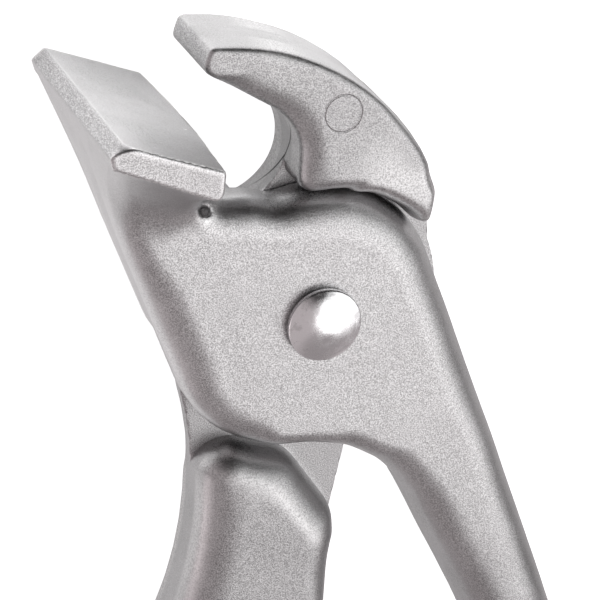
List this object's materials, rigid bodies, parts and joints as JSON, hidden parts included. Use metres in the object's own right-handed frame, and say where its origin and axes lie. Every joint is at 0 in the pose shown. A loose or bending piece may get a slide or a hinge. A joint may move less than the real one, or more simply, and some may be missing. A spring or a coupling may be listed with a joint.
{
  "type": "gripper pliers",
  "caption": "Heavy cast pliers with a hooked beak jaw over a wide flat jaw, pivoting on a domed rivet, for gripping a rim or prying out staples.",
  "frame": {"origin": "middle of the tool's footprint as it lies on its side, at the height of the wide jaw's lower edge, with the jaws standing open as at rest", "axes": "+Z along the rivet's axis, towards the front lever's head side; +Y from the handles' ends towards the jaws; +X towards the front lever's handle"},
  "size_m": [0.1, 0.1898, 0.034],
  "materials": {
    "cast_metal": "matte",
    "rivet_metal": "polished"
  },
  "bodies": {
    "back_half": {"back_lever": "cast_metal", "rivet": "rivet_metal"},
    "front_half": {"front_lever": "cast_metal"}
  },
  "joints": [
    {"name": "rivet_hinge", "type": "hinge", "parent": "back_half", "child": "front_half", "pos_m": [-0.01659, 0.05655, 0.017], "axis": [0, 0, 1], "range_deg": [-15, 18]}
  ]
}
